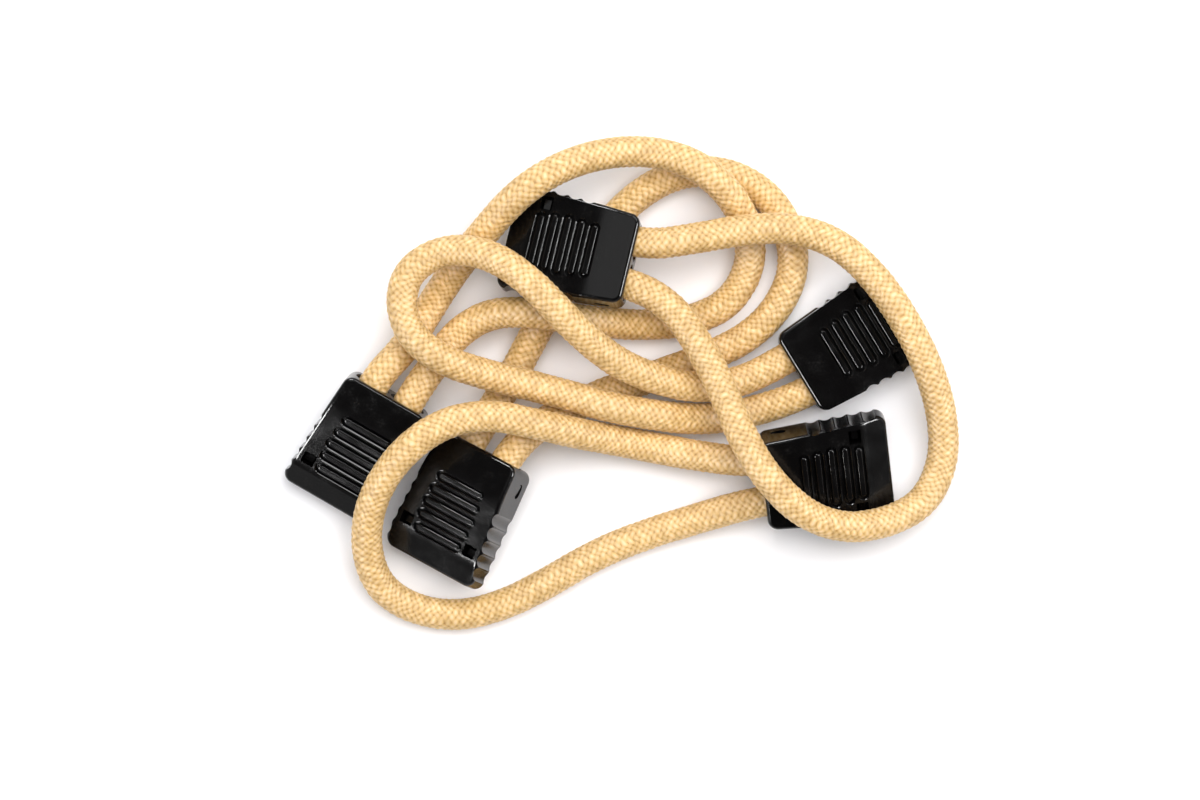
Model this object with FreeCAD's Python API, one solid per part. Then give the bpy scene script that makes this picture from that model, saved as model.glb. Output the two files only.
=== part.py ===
"""A set of five cord zipper pulls lying in a loose heap.

Each pull is one loop of round braided cord.  Both of its ends lie side by side in a wedge-shaped
grip, moulded in two halves that snap together: a deep cover with a ribbed face, and a flat lid
with two hooks at the far end and two side bumps near the cords.

Millimetres, +Z up.  The origin is on the surface that the heap lies on, under the middle of the
box around the five grips.
"""
import FreeCAD, Part
import math
import os

Vector = FreeCAD.Vector

# ---- cord ----
CORD_DIAMETER = 4.0
ARC_SHARE = 0.45            # share of the shorter run that a bend takes up
TIP_LENGTH = 1.9            # melted end of the cord
TIP_RADIUS = 1.8
TIP_ROUND = 0.5

# ---- grip, seen from above: a trapezium, wider at the far end ----
GRIP_LENGTH = 16.0
CORD_END_WIDTH = 11.2
FAR_END_WIDTH = 13.5
CORNER_RADIUS = 1.3

# ---- grip, seen from the side: level at the cords, falling to the far end ----
CORD_END_HEIGHT = 6.3
LEVEL_END = -4.5            # X where the face starts to fall
SLOPE_END = -13.0           # X where the rounded nose starts
SLOPE_END_HEIGHT = 4.8
FAR_END_HEIGHT = 3.3
LEVEL_BLEND = 15.0          # rounding where the face starts to fall
NOSE_BLEND = 4.0            # rounding where the nose starts
EDGE_RADIUS = 0.5
LID_HEIGHT = 1.6            # parting plane between lid and cover

# ---- scallops in both flanks ----
SCALLOPS = 5
SCALLOP_PITCH = 1.77
SCALLOP_FIRST = -6.9
SCALLOP_RADIUS = 1.1
SCALLOP_DEPTH = 0.35

# ---- raised ribs, each in its own pocket ----
RIB_PITCH = 1.77
RIB_FIRST = -5.3
RIB_LENGTHS = (6.4, 6.8, 7.2, 7.0, 6.4)
RIB_WIDTH = 0.8
RIB_ROUND = 0.2
POCKET_WIDTH = 1.4
POCKET_DEPTH = 0.55
POCKET_CHAMFER = 0.1

# ---- cord channels ----
CHANNEL_OFFSET = 2.5        # each side of the middle
CHANNEL_HEIGHT = 3.15       # centre line above the lid's flat face
CHANNEL_RADIUS = 2.05
CHANNEL_END = -6.6
MOUTH_RADIUS = 2.35
MOUTH_LENGTH = 0.8
TEETH = (-1.6, -2.7, -3.8)
TOOTH_BITE = 0.25
TOOTH_WIDTH = 0.7

# ---- hollow behind the channels, stiffeners, hooks and side bumps ----
WALL = 1.2
CHAMBER_TOP = 3.3
CHAMBER_END = -14.8
STIFFENER_WIDTH = 0.8
STIFFENER_OFFSET = 1.7
STIFFENER_TOP = 3.0
WINDOW_X = -11.95
WINDOW_Y = 4.7
WINDOW_LENGTH = 1.5
WINDOW_WIDTH = 1.7
HOOK_LENGTH = 0.8
HOOK_WIDTH = 1.2
HOOK_BARB = 0.2
HOOK_TOP = 3.75
SLOT_X = -2.6
SLOT_HEIGHT = 2.4
SLOT_LENGTH = 1.9
SLOT_WIDTH = 1.2
BUMP_CLEARANCE = 0.15
BUMP_INSET = 0.15           # how far the bump stays below the flank
TAB_THICKNESS = 0.4
TAB_LENGTH = 2.6
TAB_TOP = 3.4

ALONG_X = Vector(1, 0, 0)
ALONG_Y = Vector(0, 1, 0)
UP = Vector(0, 0, 1)

# Each pull: where the middle of the grip's lower cord-end edge lies, the grip's turn (about Z),
# pitch (cord end up) and roll (left flank up) in degrees, and the cord's route from one melted
# end to the other.  The first two and last two points lie on the axes of the grip's channels.
PULLS = {
    "pull_a": {
        "at": (3.2, 14.9, 5.15),
        "angles": (-13, 6, -6),
        "route": [
            (-0.5, 18.7, 7.6), (4.6, 17.5, 8.1), (10.3, 18.3, 8.6), (16.1, 19.4, 8.2),
            (22.3, 19.8, 7.6), (28.1, 18.1, 7.2), (32.8, 13.9, 7.3), (36.4, 8.8, 7.2),
            (39.4, 3.1, 6.7), (41.4, -2.9, 4.8), (41.8, -8.9, 3.6), (39.5, -14.2, 4.4),
            (34.8, -16.8, 6.4), (29.1, -17.6, 8.2), (23.8, -15.6, 10.0), (19.3, -11.0, 11.4),
            (16.3, -5.9, 10.7), (14.0, -0.2, 9.4), (11.3, 5.0, 8.6), (8.1, 9.7, 8.4),
            (3.4, 12.7, 8.6), (-1.8, 13.8, 8.1),
        ],
    },
    "pull_b": {
        "at": (23.6, 1.5, 0.00),
        "angles": (211.3, 0, 0),
        "route": [
            (26.0, 5.9, 3.1), (21.4, 3.1, 3.1), (16.5, 0.6, 3.6), (11.0, -0.2, 4.9),
            (5.2, 1.1, 6.5), (0.1, 3.5, 8.5), (-4.8, 7.8, 11.4), (-9.7, 13.1, 12.6),
            (-14.8, 16.5, 11.3), (-20.2, 17.1, 9.8), (-24.7, 14.6, 9.3), (-25.9, 10.4, 9.5),
            (-24.5, 6.2, 9.7), (-20.5, 3.2, 9.3), (-14.8, 1.4, 7.3), (-9.8, 0.2, 6.6),
            (-4.8, -1.1, 6.5), (0.1, -2.5, 6.4), (5.6, -3.5, 5.0), (11.2, -4.1, 3.1),
            (16.5, -3.5, 2.5), (24.0, -1.2, 3.1), (28.6, 1.6, 3.1),
        ],
    },
    "pull_c": {
        "at": (19.0, -10.8, 1.80),
        "angles": (187, 0, -16),
        "route": [
            (23.1, -8.8, 5.5), (17.8, -9.4, 5.5), (11.2, -8.6, 4.2), (5.2, -7.5, 3.1),
            (0.1, -6.5, 4.3), (-4.8, -5.6, 7.4), (-9.7, -4.4, 9.8), (-15.0, -3.4, 10.2),
            (-20.2, -4.3, 10.5), (-24.8, -7.4, 10.5), (-28.2, -11.6, 9.3), (-30.0, -16.2, 7.1),
            (-30.1, -21.2, 4.6), (-28.2, -25.4, 2.7), (-23.9, -27.9, 2.0), (-18.5, -28.6, 2.0),
            (-12.8, -27.1, 2.0), (-7.4, -24.3, 2.0), (-1.9, -21.0, 2.0), (4.2, -18.5, 2.0),
            (10.6, -16.5, 2.6), (18.4, -14.2, 4.1), (23.8, -13.5, 4.1),
        ],
    },
    "pull_d": {
        "at": (-26.9, -0.4, 2.50),
        "angles": (60, 9, 0),
        "route": [
            (-31.4, -3.3, 4.9), (-28.8, 1.3, 5.8), (-25.2, 4.9, 5.2), (-22.5, 9.5, 3.6),
            (-19.2, 14.6, 3.9), (-15.3, 19.4, 7.0), (-11.3, 23.8, 9.5), (-6.6, 27.0, 9.4),
            (-0.8, 29.0, 8.0), (5.2, 29.3, 6.8), (10.6, 27.8, 6.5), (14.8, 24.4, 5.8),
            (17.4, 19.9, 3.3), (17.8, 15.2, 2.2), (15.2, 10.5, 2.0), (10.6, 8.3, 2.0),
            (5.2, 7.7, 2.1), (0.1, 7.9, 3.3), (-4.8, 8.5, 5.7), (-9.8, 9.3, 6.5),
            (-14.8, 9.2, 5.5), (-18.8, 6.8, 4.6), (-21.2, 3.5, 5.1), (-24.5, -1.2, 5.8),
            (-27.1, -5.8, 4.9),
        ],
    },
    "pull_e": {
        "at": (-14.0, -8.6, 2.30),
        "angles": (62, 0, -21),
        "route": [
            (-19.2, -10.8, 4.3), (-16.7, -6.1, 4.3), (-12.4, 0.6, 2.2), (-10.2, 4.8, 2.0),
            (-7.6, 9.6, 2.0), (-4.4, 14.6, 2.0), (-0.7, 19.6, 2.0), (3.5, 24.0, 2.0),
            (8.6, 26.8, 2.0), (14.2, 27.0, 2.0), (19.1, 24.6, 2.0), (22.3, 20.4, 2.0),
            (23.3, 15.0, 2.0), (21.2, 9.8, 2.0), (16.9, 5.8, 2.0), (11.3, 3.4, 2.0),
            (5.6, 1.3, 2.0), (0.1, -0.4, 2.0), (-4.6, -2.6, 2.3), (-8.7, -4.7, 4.4),
            (-12.5, -8.3, 6.1), (-15.0, -13.0, 6.1),
        ],
    },
}


def half_width(x):
    """Half the grip's width at x, which runs from 0 at the cord end to -GRIP_LENGTH."""
    widening = (FAR_END_WIDTH - CORD_END_WIDTH) / 2
    return CORD_END_WIDTH / 2 + widening * -x / GRIP_LENGTH


def box(x_low, x_high, y_low, y_high, z_low, z_high):
    size = (x_high - x_low, y_high - y_low, z_high - z_low)
    return Part.makeBox(*size, Vector(x_low, y_low, z_low))


def prism(points, along):
    """Straight solid on a closed outline of points."""
    outline = Part.makePolygon([*points, points[0]])
    return Part.Face(outline).extrude(along)


def plan_prism(x_low, x_high, inset, z_low, z_high):
    """The grip's plan between two x, drawn in from the flanks by inset, between two heights."""
    near = half_width(x_high) - inset
    far = half_width(x_low) - inset
    corners = [(x_high, near), (x_low, far), (x_low, -far), (x_high, -near)]
    return prism([Vector(x, y, z_low) for x, y in corners], UP * (z_high - z_low))


def stadium(length, width, height):
    """Bar along Y with round ends, centred on the origin, from z = 0 up."""
    radius = width / 2
    straight = length / 2 - radius
    bar = box(-radius, radius, -straight, straight, 0, height)
    for y in (-straight, straight):
        bar = bar.fuse(Part.makeCylinder(radius, height, Vector(0, y, 0)))
    return bar.removeSplitter()


def outer_block():
    """The closed grip before anything is cut out of it."""
    plan = plan_prism(-GRIP_LENGTH, 0, 0, 0, CORD_END_HEIGHT)
    corners = [edge for edge in plan.Edges if edge.Length > CORD_END_HEIGHT - 0.01
               and abs(edge.tangentAt(edge.FirstParameter).z) > 0.99]
    plan = plan.makeFillet(CORNER_RADIUS, corners)
    side_view = [(0, 0), (0, CORD_END_HEIGHT), (LEVEL_END, CORD_END_HEIGHT),
                 (SLOPE_END, SLOPE_END_HEIGHT), (-GRIP_LENGTH, FAR_END_HEIGHT), (-GRIP_LENGTH, 0)]
    reach = FAR_END_WIDTH
    wedge = prism([Vector(x, -reach, z) for x, z in side_view], ALONG_Y * 2 * reach)
    for x, radius in ((LEVEL_END, LEVEL_BLEND), (SLOPE_END, NOSE_BLEND)):
        crease = [edge for edge in wedge.Edges
                  if abs(edge.CenterOfMass.x - x) < 0.01 and abs(edge.CenterOfMass.y) < 0.01]
        wedge = wedge.makeFillet(radius, crease)
    block = plan.common(wedge)
    rims = []
    for edge in block.Edges:
        middle = edge.valueAt((edge.FirstParameter + edge.LastParameter) / 2)
        upright = abs(edge.tangentAt(edge.FirstParameter).z) > 0.9
        crosses_face = abs(middle.y) < 0.01 and -GRIP_LENGTH + 0.01 < middle.x < -0.01
        if not upright and not crosses_face:
            rims.append(edge)
    block = block.makeFillet(EDGE_RADIUS, rims)
    for flute in range(SCALLOPS):
        x = SCALLOP_FIRST - flute * SCALLOP_PITCH
        y = half_width(x) + SCALLOP_RADIUS - SCALLOP_DEPTH
        for side in (-1, 1):
            cutter = Part.makeCylinder(SCALLOP_RADIUS, CORD_END_HEIGHT, Vector(x, side * y, 0))
            block = block.cut(cutter)
    return block


def stadium_outline(length, width, z):
    """Outline of a stadium at height z."""
    base = min(stadium(length, width, 1).Faces, key=lambda face: face.CenterOfMass.z)
    outline = base.OuterWire
    outline.translate(Vector(0, 0, z))
    return outline


def rib_field(face_point, pitch_angle):
    """Pockets to cut and ribs to add back, on a face through face_point that falls to the rear."""
    pockets = []
    ribs = []
    for number, length in enumerate(RIB_LENGTHS):
        along = number * RIB_PITCH
        spread = POCKET_WIDTH - RIB_WIDTH
        pocket = stadium(length + spread, POCKET_WIDTH, POCKET_DEPTH)
        pocket.translate(Vector(0, 0, -POCKET_DEPTH))
        rims = [stadium_outline(length + spread + 2 * grown, POCKET_WIDTH + 2 * grown, z)
                for grown, z in ((0, -POCKET_CHAMFER), (3 * POCKET_CHAMFER, 2 * POCKET_CHAMFER))]
        pocket = pocket.fuse(Part.makeLoft(rims, True, True))
        pocket.translate(Vector(-along, 0, 0))
        rib = stadium(length, RIB_WIDTH, POCKET_DEPTH)
        crown = [edge for edge in rib.Edges if edge.CenterOfMass.z > POCKET_DEPTH - 0.01]
        rib = rib.makeFillet(RIB_ROUND, crown)
        rib.translate(Vector(-along, 0, -POCKET_DEPTH))
        for shape in (pocket, rib):
            shape.rotate(Vector(0, 0, 0), ALONG_Y, pitch_angle)
            shape.translate(face_point)
        pockets.append(pocket)
        ribs.append(rib)
    return pockets, ribs


def channels():
    """Both cord channels with flared mouths; teeth stay standing in them."""
    cutters = []
    for side in (-1, 1):
        axis = Vector(CHANNEL_END, side * CHANNEL_OFFSET, CHANNEL_HEIGHT)
        bore = Part.makeCylinder(CHANNEL_RADIUS, -CHANNEL_END + 1, axis, ALONG_X)
        mouth = Part.makeCone(CHANNEL_RADIUS, MOUTH_RADIUS, MOUTH_LENGTH,
                              Vector(-MOUTH_LENGTH, axis.y, axis.z), ALONG_X)
        cutters.append(bore.fuse(mouth))
    both = cutters[0].fuse(cutters[1])
    bite = CHANNEL_RADIUS - CORD_DIAMETER / 2 + TOOTH_BITE
    low = CHANNEL_HEIGHT - CHANNEL_RADIUS
    high = CHANNEL_HEIGHT + CHANNEL_RADIUS
    reach = CORD_END_WIDTH / 2
    for x in TEETH:
        for root, crest in ((low, low + bite), (high, high - bite)):
            tooth = prism([Vector(x - TOOTH_WIDTH / 2, -reach, root),
                           Vector(x + TOOTH_WIDTH / 2, -reach, root),
                           Vector(x, -reach, crest)], ALONG_Y * 2 * reach)
            both = both.cut(tooth)
    return both


def side_slot(side, clearance, y_inner, y_outer):
    """Oval plug through a flank, long way along X."""
    width = SLOT_WIDTH - 2 * clearance
    length = SLOT_LENGTH - 2 * clearance
    plug = stadium(length, width, y_outer - y_inner)
    plug.rotate(Vector(0, 0, 0), UP, 90)
    plug.rotate(Vector(0, 0, 0), ALONG_X, -90 * side)
    plug.translate(Vector(SLOT_X, side * y_inner, SLOT_HEIGHT))
    return plug


def tab_recess(side, clearance):
    """Upright slot inside a flank for the lid's side tab."""
    y_inner = CHANNEL_OFFSET + CHANNEL_RADIUS
    y_outer = y_inner + TAB_THICKNESS + clearance
    x_low = SLOT_X - TAB_LENGTH / 2 - clearance
    x_high = SLOT_X + TAB_LENGTH / 2 + clearance
    ends = sorted((side * (y_inner - 0.3), side * y_outer))
    return box(x_low, x_high, ends[0], ends[1], LID_HEIGHT, TAB_TOP + clearance)


def make_cover(block, bores):
    """Deep upper half: ribbed face, windows for the hooks, side slots, hollow inside."""
    cover = block.common(box(-GRIP_LENGTH - 1, 1, -9, 9, LID_HEIGHT, CORD_END_HEIGHT + 1))
    fall = math.degrees(math.atan2(CORD_END_HEIGHT - SLOPE_END_HEIGHT, LEVEL_END - SLOPE_END))
    height = CORD_END_HEIGHT - (LEVEL_END - RIB_FIRST) * math.tan(math.radians(fall))
    pockets, ribs = rib_field(Vector(RIB_FIRST, 0, height), -fall)
    cover = cover.cut(Part.makeCompound(pockets))
    cover = cover.fuse(ribs)
    chamber = plan_prism(CHAMBER_END, CHANNEL_END + 0.5, WALL, LID_HEIGHT - 1, CHAMBER_TOP)
    cover = cover.cut([bores, chamber])
    for side in (-1, 1):
        y = side * WINDOW_Y
        cover = cover.cut([
            box(WINDOW_X - WINDOW_LENGTH / 2, WINDOW_X + WINDOW_LENGTH / 2,
                y - WINDOW_WIDTH / 2, y + WINDOW_WIDTH / 2, LID_HEIGHT, CORD_END_HEIGHT),
            tab_recess(side, 0.05),
            side_slot(side, 0, CHANNEL_OFFSET + CHANNEL_RADIUS, CORD_END_WIDTH)])
    return cover.removeSplitter()


def make_lid(block, bores):
    """Flat lower half: ribbed underside, stiffeners, two hooks and two side tabs with bumps."""
    lid = block.common(box(-GRIP_LENGTH - 1, 1, -9, 9, -1, LID_HEIGHT))
    pockets, ribs = rib_field(Vector(RIB_FIRST, 0, 0), 0)
    for shape in (*pockets, *ribs):
        shape.rotate(Vector(0, 0, 0), ALONG_X, 180)
    lid = lid.cut(Part.makeCompound(pockets))
    lid = lid.fuse(ribs)
    grown = []
    for side in (-1, 1):
        y = side * STIFFENER_OFFSET
        grown.append(box(SLOPE_END, CHANNEL_END - 0.4, y - STIFFENER_WIDTH / 2,
                         y + STIFFENER_WIDTH / 2, LID_HEIGHT, STIFFENER_TOP))
        y = side * WINDOW_Y
        x_low = WINDOW_X - HOOK_LENGTH / 2
        x_high = WINDOW_X + HOOK_LENGTH / 2
        hook = prism([Vector(x_low, y - HOOK_WIDTH / 2, LID_HEIGHT),
                      Vector(x_high, y - HOOK_WIDTH / 2, LID_HEIGHT),
                      Vector(x_high, y - HOOK_WIDTH / 2, HOOK_TOP - 0.8),
                      Vector(x_high + HOOK_BARB, y - HOOK_WIDTH / 2, HOOK_TOP - 0.6),
                      Vector(x_high, y - HOOK_WIDTH / 2, HOOK_TOP),
                      Vector(x_low, y - HOOK_WIDTH / 2, HOOK_TOP)], ALONG_Y * HOOK_WIDTH)
        grown.append(hook)
        y_inner = CHANNEL_OFFSET + CHANNEL_RADIUS
        y_bump = half_width(SLOT_X) - BUMP_INSET
        tab = tab_recess(side, 0).fuse(side_slot(side, BUMP_CLEARANCE, y_inner, y_bump))
        grown.append(tab.cut(bores))
    return lid.cut(bores).fuse(grown).removeSplitter()


def cord_path(route):
    """Straight runs joined by tangent arcs, and the radius of each arc."""
    points = [Vector(*point) for point in route]
    edges = []
    radii = []
    start = points[0]
    for before, corner, after in zip(points, points[1:], points[2:]):
        back = before - corner
        ahead = after - corner
        cut = ARC_SHARE * min(back.Length, ahead.Length)
        turn = math.pi - back.getAngle(ahead)
        back.normalize()
        ahead.normalize()
        radius = cut / math.tan(turn / 2)
        inward = back + ahead
        inward.normalize()
        middle = corner + inward * (radius / math.cos(turn / 2) - radius)
        arc_start = corner + back * cut
        arc_end = corner + ahead * cut
        edges.append(Part.LineSegment(start, arc_start).toShape())
        edges.append(Part.Arc(arc_start, middle, arc_end).toShape())
        radii.append(radius)
        start = arc_end
    edges.append(Part.LineSegment(start, points[-1]).toShape())
    return Part.Wire(edges), radii


def make_cord(name, route):
    """Round tube along the route; prints its length, volume and bend radii."""
    path, radii = cord_path(route)
    start = Vector(*route[0])
    section = Part.Wire(Part.makeCircle(CORD_DIAMETER / 2, start, Vector(*route[1]) - start))
    tube = path.makePipeShell([section], True, False)
    expected = math.pi * CORD_DIAMETER ** 2 / 4 * path.Length
    print(f"{name}: length {path.Length:.1f}, volume {tube.Volume:.1f} of {expected:.1f}, radii",
          " ".join(f"{radius:.1f}" for radius in radii))
    return tube


def make_tip(end, inside):
    """Melted end of the cord: a short plug beyond the end of the route."""
    end = Vector(*end)
    outward = end - Vector(*inside)
    outward.normalize()
    plug = Part.makeCylinder(TIP_RADIUS, TIP_LENGTH, end, outward)
    rims = [edge for edge in plug.Edges
            if (edge.CenterOfMass - end).dot(outward) > TIP_LENGTH - 0.01]
    return plug.makeFillet(TIP_ROUND, rims)


def grip_placement(corner, turn, pitch, roll):
    rotation = FreeCAD.Rotation(UP, turn)
    rotation = rotation.multiply(FreeCAD.Rotation(ALONG_Y, -pitch))
    rotation = rotation.multiply(FreeCAD.Rotation(ALONG_X, roll))
    return FreeCAD.Placement(Vector(*corner), rotation)


def main():
    os.makedirs("parts", exist_ok=True)
    block = outer_block()
    bores = channels()
    cover = make_cover(block, bores)
    lid = make_lid(block, bores)
    for name, pull in PULLS.items():
        placement = grip_placement(pull["at"], *pull["angles"])
        route = pull["route"]
        pieces = {
            "cover": cover.copy(),
            "lid": lid.copy(),
            "cord": make_cord(name, route),
            "tip_left": make_tip(route[0], route[1]),
            "tip_right": make_tip(route[-1], route[-2]),
        }
        pieces["cover"].Placement = placement
        pieces["lid"].Placement = placement
        for piece, shape in pieces.items():
            shape.exportStep(f"parts/{name}_{piece}.step")


main()
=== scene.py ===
"""Five cord zipper pulls in a loose heap: camera, light, floor, braided cords and moulded grips."""

import math

import bpy
import numpy as np
from mathutils import Euler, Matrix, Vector


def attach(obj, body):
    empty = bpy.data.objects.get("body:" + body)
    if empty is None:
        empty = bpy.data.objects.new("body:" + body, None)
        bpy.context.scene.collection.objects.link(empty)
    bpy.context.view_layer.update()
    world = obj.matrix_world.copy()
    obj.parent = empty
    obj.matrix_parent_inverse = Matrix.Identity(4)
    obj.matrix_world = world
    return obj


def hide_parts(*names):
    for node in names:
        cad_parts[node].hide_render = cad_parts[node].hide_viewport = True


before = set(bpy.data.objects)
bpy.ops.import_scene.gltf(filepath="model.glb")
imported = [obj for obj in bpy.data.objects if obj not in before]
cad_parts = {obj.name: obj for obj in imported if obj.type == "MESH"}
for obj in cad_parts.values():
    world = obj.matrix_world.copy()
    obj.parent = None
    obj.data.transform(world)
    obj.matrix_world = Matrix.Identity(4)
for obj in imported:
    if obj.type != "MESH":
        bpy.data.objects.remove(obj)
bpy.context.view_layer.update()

# Lengths are in metres and angles in degrees, unless a comment says otherwise.

# Camera: straight above the heap, far enough back that the heap shows almost no perspective. The lens
# and the sensor are in millimetres.
CAMERA_AT = (-0.00110, -0.00162, 0.84)
CAMERA_LENS = 201.6
CAMERA_SENSOR = 36.0
CAMERA_NEAR = 0.01

# Cord: 4 mm round braid. The braid has two families of flat yarns, one wound each way, and every yarn
# passes over one and under one of the other family, so that its stitches stand in staggered columns.
BRAID_OUTER = 0.00199  # from the middle line to the highest stitch
YARNS = 10  # in each family
STITCH_STEP = 0.00087  # from one stitch to the next one along the cord
SUBDIVISIONS = 5  # mesh cells along each side of a stitch
YARN_RISE = 0.000055  # how far a yarn goes up or down from its middle height
YARN_THICK = 0.000135
YARN_ROUND = 0.9  # the share of its thickness that a yarn loses towards its sides
STITCH_UNEVEN = 0.000040  # how much higher one stitch can be than another
FAMILY_SHIFT = 0.37  # keeps the two families' fibres apart in the texture
HUB_VALUE = 0.5  # relief and tone of the flat ends

# How the stitches wander: waves around the cord, their turn per half stitch along it in radians, and
# the multiple of the seed at which they start. LOOSENESS is their height, in yarn widths.
LOOSENESS = 0.11
WANDER_A = ((3, 0.23, 1), (7, -0.41, 2))
WANDER_B = ((4, -0.29, 3), (6, 0.47, 4))

# How a cord is uneven along its length, in slow waves: their pace in radians per metre and the
# multiple of the seed at which they start. A twist's first number is its height, in radians. SWELL is
# half the share of the radius that a cord loses where it is thinnest.
TWISTS = ((0.5, 31.0, 1.0), (0.35, 83.0, 2.1))
SWELL = 0.008
SWELL_WAVES = ((410.0, 1.0), (157.0, 3.0))

# Each pull has a seed of its own, and the lid's differs from the cover's.
FIRST_SEED = 0.6
SEED_STEP = 1.7
LID_SEED = 0.4

FIBRE_GRAIN = 0.00002
PLASTIC_GRAIN = 0.000006
MELTED_GRAIN = 0.00012
NOISE_ROUGHNESS = 0.55

# The floor lies just below the heap, so that the two never share a plane.
FLOOR_DROP = 0.00003
FLOOR_HALF = 1.5

# Surroundings: how bright they are at each height of the direction (0 horizon, 1 overhead), and a
# soft patch to the upper left of the camera that the tilted faces of the grips mirror.
SKY = [(0.0, 1.0), (0.22, 1.1), (0.36, 0.16), (0.90, 0.04)]
PATCH_TOWARDS = (-0.155, 0.248, 0.956)
PATCH_OUTER = 16.0
PATCH_INNER = 6.0
PATCH_GLOW = 1.2

# Soft boxes that light the matt surfaces: name, place, side, power in watts and colour of each one.
WHITE = (1.0, 1.0, 1.0)
SOFT_BOXES = [
    ("key", (0.26, 0.30, 0.90), 0.90, 13.5, (1.0, 0.99, 0.98)),
    ("fill", (-0.45, -0.10, 0.80), 0.95, 4.2, WHITE),
]

# Strip lights that draw the edges of the ribs: azimuth, angle from overhead and power of each one.
STRIPS = [(0.0, 50.0, 6.0), (-151.0, 47.0, 7.0), (60.0, 47.0, 1.8), (105.0, 56.0, 4.4)]
STRIP_FAR = 0.65
STRIP_SIZE = (0.30, 0.10)

# All lights aim at the middle of the heap.
HEAP_MIDDLE = (0.0, 0.0, 0.0)

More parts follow.
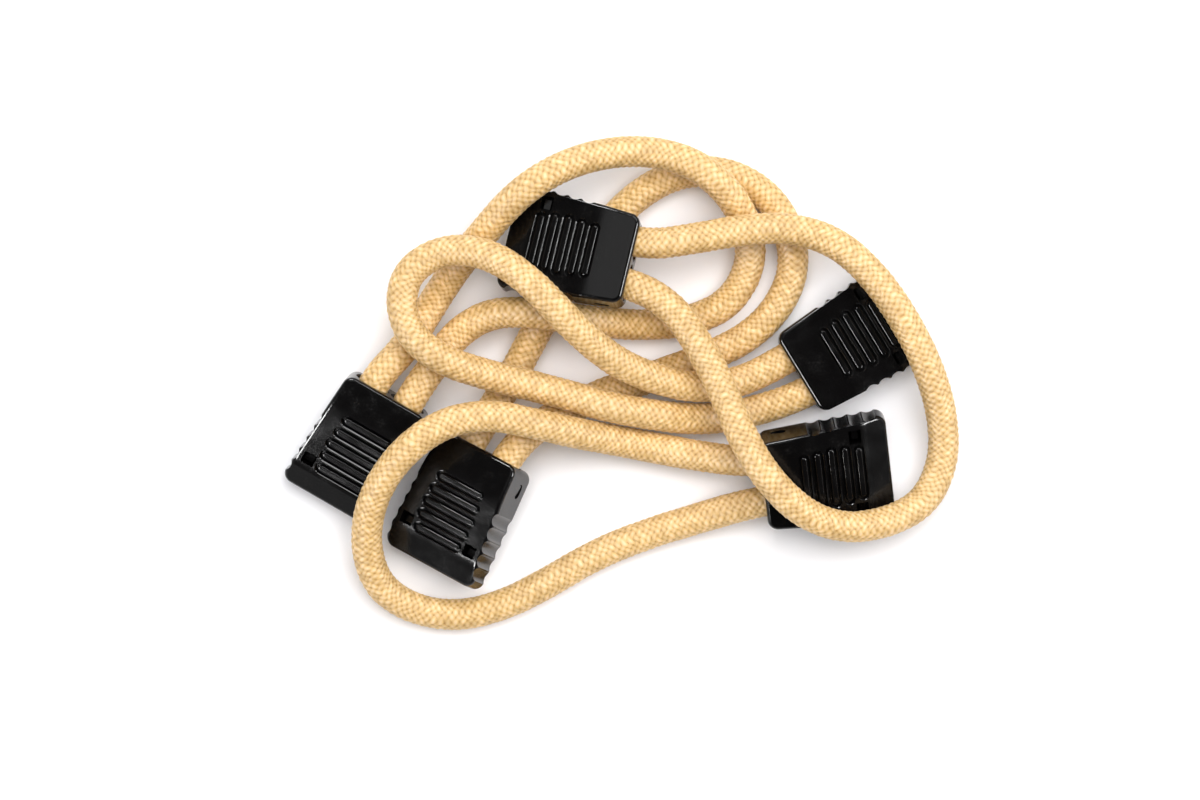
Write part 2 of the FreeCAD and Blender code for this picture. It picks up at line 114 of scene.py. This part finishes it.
# Each cord's route, in metres, from one melted end inside its grip to the other.
ROUTES = {
    "pull_a": [
        (-0.0005, 0.0187, 0.0076), (0.0046, 0.0175, 0.0081), (0.0103, 0.0183, 0.0086),
        (0.0161, 0.0194, 0.0082), (0.0223, 0.0198, 0.0076), (0.0281, 0.0181, 0.0072),
        (0.0328, 0.0139, 0.0073), (0.0364, 0.0088, 0.0072), (0.0394, 0.0031, 0.0067),
        (0.0414, -0.0029, 0.0048), (0.0418, -0.0089, 0.0036), (0.0395, -0.0142, 0.0044),
        (0.0348, -0.0168, 0.0064), (0.0291, -0.0176, 0.0082), (0.0238, -0.0156, 0.0100),
        (0.0193, -0.0110, 0.0114), (0.0163, -0.0059, 0.0107), (0.0140, -0.0002, 0.0094),
        (0.0113, 0.0050, 0.0086), (0.0081, 0.0097, 0.0084), (0.0034, 0.0127, 0.0086),
        (-0.0018, 0.0138, 0.0081),
    ],
    "pull_b": [
        (0.0260, 0.0059, 0.0031), (0.0214, 0.0031, 0.0031), (0.0165, 0.0006, 0.0036),
        (0.0110, -0.0002, 0.0049), (0.0052, 0.0011, 0.0065), (0.0001, 0.0035, 0.0085),
        (-0.0048, 0.0078, 0.0114), (-0.0097, 0.0131, 0.0126), (-0.0148, 0.0165, 0.0113),
        (-0.0202, 0.0171, 0.0098), (-0.0247, 0.0146, 0.0093), (-0.0259, 0.0104, 0.0095),
        (-0.0245, 0.0062, 0.0097), (-0.0205, 0.0032, 0.0093), (-0.0148, 0.0014, 0.0073),
        (-0.0098, 0.0002, 0.0066), (-0.0048, -0.0011, 0.0065), (0.0001, -0.0025, 0.0064),
        (0.0056, -0.0035, 0.0050), (0.0112, -0.0041, 0.0031), (0.0165, -0.0035, 0.0025),
        (0.0240, -0.0012, 0.0031), (0.0286, 0.0016, 0.0031),
    ],
    "pull_c": [
        (0.0231, -0.0088, 0.0055), (0.0178, -0.0094, 0.0055), (0.0112, -0.0086, 0.0042),
        (0.0052, -0.0075, 0.0031), (0.0001, -0.0065, 0.0043), (-0.0048, -0.0056, 0.0074),
        (-0.0097, -0.0044, 0.0098), (-0.0150, -0.0034, 0.0102), (-0.0202, -0.0043, 0.0105),
        (-0.0248, -0.0074, 0.0105), (-0.0282, -0.0116, 0.0093), (-0.0300, -0.0162, 0.0071),
        (-0.0301, -0.0212, 0.0046), (-0.0282, -0.0254, 0.0027), (-0.0239, -0.0279, 0.0020),
        (-0.0185, -0.0286, 0.0020), (-0.0128, -0.0271, 0.0020), (-0.0074, -0.0243, 0.0020),
        (-0.0019, -0.0210, 0.0020), (0.0042, -0.0185, 0.0020), (0.0106, -0.0165, 0.0026),
        (0.0184, -0.0142, 0.0041), (0.0238, -0.0135, 0.0041),
    ],
    "pull_d": [
        (-0.0314, -0.0033, 0.0049), (-0.0288, 0.0013, 0.0058), (-0.0252, 0.0049, 0.0052),
        (-0.0225, 0.0095, 0.0036), (-0.0192, 0.0146, 0.0039), (-0.0153, 0.0194, 0.0070),
        (-0.0113, 0.0238, 0.0095), (-0.0066, 0.0270, 0.0094), (-0.0008, 0.0290, 0.0080),
        (0.0052, 0.0293, 0.0068), (0.0106, 0.0278, 0.0065), (0.0148, 0.0244, 0.0058),
        (0.0174, 0.0199, 0.0033), (0.0178, 0.0152, 0.0022), (0.0152, 0.0105, 0.0020),
        (0.0106, 0.0083, 0.0020), (0.0052, 0.0077, 0.0021), (0.0001, 0.0079, 0.0033),
        (-0.0048, 0.0085, 0.0057), (-0.0098, 0.0093, 0.0065), (-0.0148, 0.0092, 0.0055),
        (-0.0188, 0.0068, 0.0046), (-0.0212, 0.0035, 0.0051), (-0.0245, -0.0012, 0.0058),
        (-0.0271, -0.0058, 0.0049),
    ],
    "pull_e": [
        (-0.0192, -0.0108, 0.0043), (-0.0167, -0.0061, 0.0043), (-0.0124, 0.0006, 0.0022),
        (-0.0102, 0.0048, 0.0020), (-0.0076, 0.0096, 0.0020), (-0.0044, 0.0146, 0.0020),
        (-0.0007, 0.0196, 0.0020), (0.0035, 0.0240, 0.0020), (0.0086, 0.0268, 0.0020),
        (0.0142, 0.0270, 0.0020), (0.0191, 0.0246, 0.0020), (0.0223, 0.0204, 0.0020),
        (0.0233, 0.0150, 0.0020), (0.0212, 0.0098, 0.0020), (0.0169, 0.0058, 0.0020),
        (0.0113, 0.0034, 0.0020), (0.0056, 0.0013, 0.0020), (0.0001, -0.0004, 0.0020),
        (-0.0046, -0.0026, 0.0023), (-0.0087, -0.0047, 0.0044), (-0.0125, -0.0083, 0.0061),
        (-0.0150, -0.0130, 0.0061),
    ],
}


def pick(seed, *index):
    """A repeatable number from 0 to 1 for every index, which can be arrays."""
    mixed = seed * 12.9898
    for step, i in enumerate(index):
        mixed = mixed + i * (78.233 + 37.719 * step)
    return np.modf(np.abs(np.sin(mixed) * 43758.5453))[0]


def add_camera():
    data = bpy.data.cameras.new("camera")
    data.sensor_width = CAMERA_SENSOR
    data.lens = CAMERA_LENS
    data.clip_start = CAMERA_NEAR
    camera = bpy.data.objects.new("camera", data)
    camera.location = CAMERA_AT
    bpy.context.scene.collection.objects.link(camera)
    bpy.context.scene.camera = camera


def add_area_light(name, place, size, power, colour, mirrored):
    """An area light. mirrored: only a highlight in glossy surfaces. Otherwise it lights matt ones."""
    data = bpy.data.lights.new(name, "AREA")
    data.shape = "RECTANGLE"
    data.size, data.size_y = size
    data.energy = power
    data.color = colour
    light = bpy.data.objects.new(name, data)
    light.location = place
    light.visible_glossy = mirrored
    light.visible_diffuse = not mirrored
    view = Vector(HEAP_MIDDLE) - Vector(place)
    light.rotation_euler = view.to_track_quat("-Z", "Y").to_euler()
    bpy.context.scene.collection.objects.link(light)


def spline_points(name, route):
    """Points along the route's smooth line: a quadratic NURBS whose controls are the route's points."""
    data = bpy.data.curves.new(name, "CURVE")
    data.dimensions = "3D"
    data.resolution_u = 48
    spline = data.splines.new("NURBS")
    spline.points.add(len(route) - 1)
    for point, place in zip(spline.points, route):
        point.co = (*place, 1.0)
    spline.order_u = 3
    spline.use_endpoint_u = True
    curve = bpy.data.objects.new(name, data)
    bpy.context.scene.collection.objects.link(curve)
    bpy.context.view_layer.update()
    mesh = bpy.data.meshes.new_from_object(curve)
    line = np.array([v.co for v in mesh.vertices])
    bpy.data.meshes.remove(mesh)
    bpy.data.objects.remove(curve)
    bpy.data.curves.remove(data)
    return line


def along_line(line, spacing):
    """The line read at an even spacing, as points and the distance of each from the start."""
    run = np.concatenate([[0.0], np.cumsum(np.linalg.norm(np.diff(line, axis=0), axis=1))])
    count = int(run[-1] / spacing)
    at = np.linspace(0.0, run[-1], count + 1)
    return np.stack([np.interp(at, run, line[:, axis]) for axis in range(3)], axis=1), at


def frames_along(points):
    """Two side directions at each point, carried along without twisting."""
    tangents = np.gradient(points, axis=0)
    tangents /= np.linalg.norm(tangents, axis=1, keepdims=True)
    side = np.cross(tangents[0], (0.0, 0.0, 1.0))
    side /= np.linalg.norm(side)
    sides = []
    for tangent in tangents:
        side = side - tangent * side.dot(tangent)
        side = side / np.linalg.norm(side)
        sides.append(side)
    sides = np.array(sides)
    return sides, np.cross(tangents, sides)


def braid_place(x, y):
    """The braid's coordinates at mesh column x and row y.

    a counts the yarns wound one way and b those wound the other way, so one stitch along the cord
    adds one to a and takes one from b.
    """
    return (x + y) / (2.0 * SUBDIVISIONS), (x - y) / (2.0 * SUBDIVISIONS)


def nearest_crest(along, lane):
    """Which of a yarn's crests is nearest: yarns in even lanes crest in even cells, the rest in odd."""
    odd = lane % 2
    return odd + 2 * np.floor((along - odd + 0.5) / 2)


def wander(waves, around, along, seed):
    return sum(np.sin(turns * around + pace * along + phase * seed) for turns, pace, phase in waves)


def loosened(a, b, seed):
    """The braid's coordinates shifted a little here and there: no two stitches are quite alike."""
    around, along = math.pi * (a + b) / YARNS, a - b
    shift_a = wander(WANDER_A, around, along, seed)
    shift_b = wander(WANDER_B, around, along, seed)
    return a + LOOSENESS * shift_a, b + LOOSENESS * shift_b


def braid_surface(a, b, seed):
    """Height over the core, whether the first family is on top, and a number for each stitch.

    A yarn is on top at one crossing and below at the next.
    """
    a, b = loosened(a, b, seed)
    families = []
    for lane, across, along in ((np.floor(a), a, b), (np.floor(b) + 1, b, a)):
        crest = nearest_crest(along, lane)
        wave = np.cos(math.pi * (along - crest - 0.5))
        crown = 1.0 - YARN_ROUND * (2.0 * (across - np.floor(across)) - 1.0) ** 2
        stitch = pick(seed, np.mod(lane, YARNS), lane - crest)
        families.append((YARN_RISE * wave + YARN_THICK * crown + STITCH_UNEVEN * stitch, stitch))
    (first, first_stitch), (second, second_stitch) = families
    on_top = first > second
    return np.maximum(first, second), on_top, np.where(on_top, first_stitch, second_stitch)


def unevenness(at, seed):
    """How far the braid is turned about the cord, in radians, and how thick it is, along the cord."""
    twist = sum(high * np.sin(at * pace + phase * seed) for high, pace, phase in TWISTS)
    first, second = (np.sin(at * pace + phase * seed) for pace, phase in SWELL_WAVES)
    return twist + seed, 1.0 - SWELL * (1.0 + first * second)


def tube_quads(rows, columns):
    """The tube's diamond-shaped faces, and the mesh column and row of every corner of each."""
    y = np.arange(rows - 2)[:, None] + np.zeros((1, columns), int)
    i = np.arange(columns)[None, :]
    odd = y % 2
    low = y * columns + i
    right = (y + 1) * columns + (i + odd) % columns
    left = (y + 1) * columns + (i + odd - 1) % columns
    high = (y + 2) * columns + i
    x = 2 * i + odd
    corner_x = np.stack([x, x + 1, x, x - 1], axis=-1)
    corner_y = np.stack([y, y + 1, y + 2, y + 1], axis=-1)
    return np.stack([low, right, high, left], axis=-1).reshape(-1, 4), corner_x, corner_y


def tube_ends(rows, columns):
    """The two ends: a ring of triangles squares each one off, and a fan of triangles closes it."""
    tris = []
    hub = rows * columns
    last = (rows - 1) * columns
    for i in range(columns):
        j = (i + 1) % columns
        under = i if rows % 2 else j
        tris.append((i, j, columns + i))
        tris.append((j, i, hub))
        tris.append((last + j, last + i, last - columns + under))
        tris.append((last + i, last + j, hub + 1))
    return np.array(tris)


def smooth_mesh(name, verts, quads, tris):
    mesh = bpy.data.meshes.new(name)
    mesh.vertices.add(len(verts))
    mesh.vertices.foreach_set("co", verts.astype(np.float32).ravel())
    loops = np.concatenate([quads.ravel(), tris.ravel()])
    mesh.loops.add(len(loops))
    mesh.loops.foreach_set("vertex_index", loops.astype(np.int32))
    starts = np.concatenate([np.arange(len(quads)) * 4, quads.size + np.arange(len(tris)) * 3])
    mesh.polygons.add(len(starts))
    mesh.polygons.foreach_set("loop_start", starts.astype(np.int32))
    mesh.polygons.foreach_set("use_smooth", np.ones(len(starts), bool))
    mesh.update(calc_edges=True)
    return mesh


def add_attribute(mesh, name, domain, values):
    attribute = mesh.attributes.new(name, "FLOAT", domain)
    attribute.data.foreach_set("value", values.astype(np.float32))


def braided_cord(name, route, seed):
    """A mesh tube along the route, with every stitch of the braid raised from it."""
    row_step = STITCH_STEP / (2 * SUBDIVISIONS)
    points, at = along_line(spline_points(name + "_line", route), row_step)
    sides, ups = frames_along(points)
    rows, columns = len(points), YARNS * SUBDIVISIONS

    y = np.arange(rows)[:, None]
    x = 2 * np.arange(columns)[None, :] + y % 2
    height = braid_surface(*braid_place(x, y), seed)[0]
    relief = (height - height.min()) / (height.max() - height.min())

    lean, swell = unevenness(at, seed)
    radius = (BRAID_OUTER - height.max() + height) * swell[:, None]
    turn = 2.0 * math.pi * x / (2.0 * columns) + lean[:, None]
    places = (
        points[:, None, :]
        + (radius * np.cos(turn))[..., None] * sides[:, None, :]
        + (radius * np.sin(turn))[..., None] * ups[:, None, :]
    )
    verts = np.concatenate([places.reshape(-1, 3), points[[0, -1]]])
    quads, corner_x, corner_y = tube_quads(rows, columns)
    tris = tube_ends(rows, columns)
    mesh = smooth_mesh(name, verts, quads, tris)

    corner_a, corner_b = braid_place(corner_x, corner_y)
    on_top, tone = braid_surface(corner_a.mean(axis=-1), corner_b.mean(axis=-1), seed)[1:]
    across = np.where(on_top[..., None], corner_a, corner_b + FAMILY_SHIFT)
    along = np.where(on_top[..., None], corner_b, corner_a)
    uv = np.zeros((quads.size + tris.size, 2), np.float32)
    uv[: quads.size, 0] = across.reshape(-1)
    uv[: quads.size, 1] = along.reshape(-1)
    mesh.uv_layers.new(name="yarn").data.foreach_set("uv", uv.ravel())
    add_attribute(mesh, "relief", "POINT", np.append(relief, [HUB_VALUE, HUB_VALUE]))
    add_attribute(mesh, "tone", "FACE", np.append(tone, np.full(len(tris), HUB_VALUE)))
    mesh.validate()

    cord = bpy.data.objects.new(name, mesh)
    bpy.context.scene.collection.objects.link(cord)
    return cord, points, at[-1]


def fill_ramp(node, stops):
    elements = node.color_ramp.elements
    while len(elements) < len(stops):
        elements.new(0.5)
    for element, (place, colour) in zip(elements, stops):
        element.position = place
        element.color = (*colour, 1.0)


class Nodes:
    """Short calls for building one material's nodes."""

    def __init__(self, name):
        self.material = bpy.data.materials.new(name)
        self.material.use_nodes = True
        self.tree = self.material.node_tree
        self.tree.nodes.clear()
        self.shader = self.add("ShaderNodeBsdfPrincipled")
        output = self.add("ShaderNodeOutputMaterial")
        self.tree.links.new(self.shader.outputs[0], output.inputs["Surface"])

    def feed(self, socket, value):
        if isinstance(value, bpy.types.NodeSocket):
            self.tree.links.new(value, socket)
        else:
            socket.default_value = value

    def add(self, kind, inputs=None, **settings):
        node = self.tree.nodes.new(kind)
        for key, value in settings.items():
            setattr(node, key, value)
        for key, value in (inputs or {}).items():
            self.feed(node.inputs[key], value)
        return node

    def object_place(self):
        return self.add("ShaderNodeTexCoord").outputs["Object"]

    def mapped(self, vector, shift, scale=(1.0, 1.0, 1.0)):
        inputs = {"Vector": vector, "Location": shift, "Scale": scale}
        return self.add("ShaderNodeMapping", inputs).outputs["Vector"]

    def noise(self, vector, scale, detail):
        inputs = {"Vector": vector, "Scale": scale, "Detail": detail, "Roughness": NOISE_ROUGHNESS}
        return self.add("ShaderNodeTexNoise", inputs).outputs["Fac"]

    def math(self, operation, *values):
        node = self.add("ShaderNodeMath", dict(enumerate(values)), operation=operation)
        return node.outputs[0]

    def spread(self, value, low, high, to_low, to_high):
        node = self.add(
            "ShaderNodeMapRange",
            {"Value": value, "From Min": low, "From Max": high, "To Min": to_low, "To Max": to_high},
        )
        return node.outputs["Result"]

    def ramp(self, value, stops):
        node = self.add("ShaderNodeValToRGB", {"Fac": value})
        fill_ramp(node, stops)
        return node.outputs["Color"]

    def mix(self, blend, factor, first, second):
        inputs = {0: factor, 6: first, 7: second}
        return self.add("ShaderNodeMix", inputs, data_type="RGBA", blend_type=blend).outputs[2]

    def bump(self, height, distance):
        return self.add("ShaderNodeBump", {"Height": height, "Distance": distance}).outputs["Normal"]

    def surface(self, **values):
        for key, value in values.items():
            self.feed(self.shader.inputs[key.replace("_", " ")], value)
        return self.material


def braid_material(name, seed):
    n = Nodes(name)
    relief = n.add("ShaderNodeAttribute", attribute_name="relief").outputs["Fac"]
    tone = n.add("ShaderNodeAttribute", attribute_name="tone").outputs["Fac"]
    yarn = n.add("ShaderNodeUVMap", uv_map="yarn").outputs["UV"]
    stretched = n.mapped(yarn, (seed, 0.3 * seed, 0.0), scale=(11.0, 0.9, 1.0))
    fibre = n.noise(stretched, 1.0, detail=2.0)
    patches = n.noise(n.object_place(), 140.0, detail=2.0)

    # Painted shade and highlight: the yarn's colour darkens with its depth, so the gaps between
    # stitches carry painted shade and the stitch tops a painted highlight.
    painted_relief_shading = n.ramp(
        relief,
        [
            (0.0, (0.235, 0.100, 0.016)),
            (0.28, (0.440, 0.240, 0.060)),
            (0.64, (0.665, 0.425, 0.155)),
            (1.0, (0.800, 0.580, 0.335)),
        ],
    )
    fibre_light = n.spread(fibre, 0.3, 0.7, 0.86, 1.10)
    stitch_light = n.spread(tone, 0.0, 1.0, 0.88, 1.07)
    patch_light = n.spread(patches, 0.3, 0.7, 0.95, 1.04)
    light = n.math("MULTIPLY", n.math("MULTIPLY", fibre_light, stitch_light), patch_light)
    return n.surface(
        Base_Color=n.mix("MULTIPLY", 1.0, painted_relief_shading, light),
        Roughness=n.spread(fibre, 0.3, 0.7, 0.60, 0.44),
        Specular_IOR_Level=0.42,
        Sheen_Weight=0.15,
        Sheen_Roughness=0.45,
        Sheen_Tint=(1.0, 0.86, 0.62, 1.0),
        Normal=n.bump(fibre, FIBRE_GRAIN),
    )


def plastic_material(name, seed):
    n = Nodes(name)
    place = n.mapped(n.object_place(), (seed, 0.0, 0.0))
    fine = n.noise(place, 3800.0, detail=2.0)
    cloud = n.noise(place, 420.0, detail=4.0)
    rubbed_parts = n.spread(cloud, 0.52, 0.70, 0.0, 1.0)
    rubbed_specks = n.spread(fine, 0.50, 0.68, 0.0, 1.0)
    rub = n.math("MULTIPLY", rubbed_parts, rubbed_specks)
    colour = n.mix("MIX", rub, (0.0016, 0.0014, 0.0015, 1.0), (0.0090, 0.0085, 0.0085, 1.0))
    rough = n.math("ADD", n.spread(cloud, 0.3, 0.7, 0.13, 0.20), n.spread(rub, 0.0, 1.0, 0.0, 0.08))
    return n.surface(
        Base_Color=colour,
        Roughness=rough,
        Specular_IOR_Level=0.36,
        IOR=1.42,
        Normal=n.bump(fine, PLASTIC_GRAIN),
    )


def melted_material():
    n = Nodes("melted_cord")
    lumps = n.noise(n.object_place(), 1500.0, detail=4.0)
    return n.surface(
        Base_Color=n.ramp(lumps, [(0.35, (0.10, 0.045, 0.014)), (0.65, (0.36, 0.20, 0.07))]),
        Roughness=n.spread(lumps, 0.3, 0.7, 0.25, 0.5),
        Normal=n.bump(lumps, MELTED_GRAIN),
    )


def floor_material():
    n = Nodes("floor")
    mottle = n.noise(n.object_place(), 9.0, detail=2.0)
    colour = n.ramp(mottle, [(0.3, (0.925, 0.925, 0.955)), (0.7, (0.94, 0.94, 0.965))])
    return n.surface(Base_Color=colour, Roughness=0.9, Specular_IOR_Level=0.15)


def add_floor():
    half, z = FLOOR_HALF, -FLOOR_DROP
    corners = [(-half, -half, z), (half, -half, z), (half, half, z), (-half, half, z)]
    mesh = bpy.data.meshes.new("floor")
    mesh.from_pydata(corners, [], [(0, 1, 2, 3)])
    floor = bpy.data.objects.new("floor", mesh)
    mesh.materials.append(floor_material())
    bpy.context.scene.collection.objects.link(floor)


def add_world():
    """Pale surroundings, dark straight overhead where the camera is, with one soft patch beside it."""
    world = bpy.data.worlds.new("studio")
    bpy.context.scene.world = world
    world.use_nodes = True
    nodes, links = world.node_tree.nodes, world.node_tree.links
    nodes.clear()
    output = nodes.new("ShaderNodeOutputWorld")
    back = nodes.new("ShaderNodeBackground")
    towards = nodes.new("ShaderNodeTexCoord").outputs["Generated"]

    split = nodes.new("ShaderNodeSeparateXYZ")
    sky = nodes.new("ShaderNodeValToRGB")
    fill_ramp(sky, [(height, (grey, grey, grey)) for height, grey in SKY])
    links.new(towards, split.inputs[0])
    links.new(split.outputs["Z"], sky.inputs["Fac"])

    nearness = nodes.new("ShaderNodeVectorMath")
    nearness.operation = "DOT_PRODUCT"
    nearness.inputs[1].default_value = Vector(PATCH_TOWARDS).normalized()
    links.new(towards, nearness.inputs[0])
    patch = nodes.new("ShaderNodeMapRange")
    patch.interpolation_type = "SMOOTHSTEP"
    patch.inputs["From Min"].default_value = math.cos(math.radians(PATCH_OUTER))
    patch.inputs["From Max"].default_value = math.cos(math.radians(PATCH_INNER))
    patch.inputs["To Max"].default_value = PATCH_GLOW
    links.new(nearness.outputs["Value"], patch.inputs["Value"])

    total = nodes.new("ShaderNodeMix")
    total.data_type = "RGBA"
    total.blend_type = "ADD"
    total.inputs[0].default_value = 1.0
    links.new(sky.outputs["Color"], total.inputs[6])
    links.new(patch.outputs["Result"], total.inputs[7])
    links.new(total.outputs[2], back.inputs["Color"])
    links.new(back.outputs[0], output.inputs["Surface"])


def repaint(node, material):
    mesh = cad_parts[node].data
    mesh.materials.clear()
    mesh.materials.append(material)


bpy.context.scene.view_settings.view_transform = "Standard"
add_camera()

for number, (pull, route) in enumerate(ROUTES.items()):
    seed = SEED_STEP * number + FIRST_SEED
    cord, line, length = braided_cord(pull + "_braid", route, seed)
    cord.data.materials.append(braid_material(pull + "_braid", seed))
    print(pull, "cord length", round(length * 1000, 1), "mm")
    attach(cord, "root")
    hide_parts(pull + "_cord")
    repaint(pull + "_cover", plastic_material(pull + "_cover", seed))
    repaint(pull + "_lid", plastic_material(pull + "_lid", seed + LID_SEED))

melted = melted_material()
for pull in ROUTES:
    for tip in ("_tip_left", "_tip_right"):
        repaint(pull + tip, melted)

add_floor()
add_world()
for name, place, side, power, colour in SOFT_BOXES:
    add_area_light(name, place, (side, side), power, colour, mirrored=False)
for number, (azimuth, zenith, power) in enumerate(STRIPS):
    place = Vector((0.0, 0.0, STRIP_FAR))
    place.rotate(Euler((0.0, math.radians(zenith), math.radians(azimuth))))
    add_area_light(f"strip {number}", place, STRIP_SIZE, power, WHITE, mirrored=True)
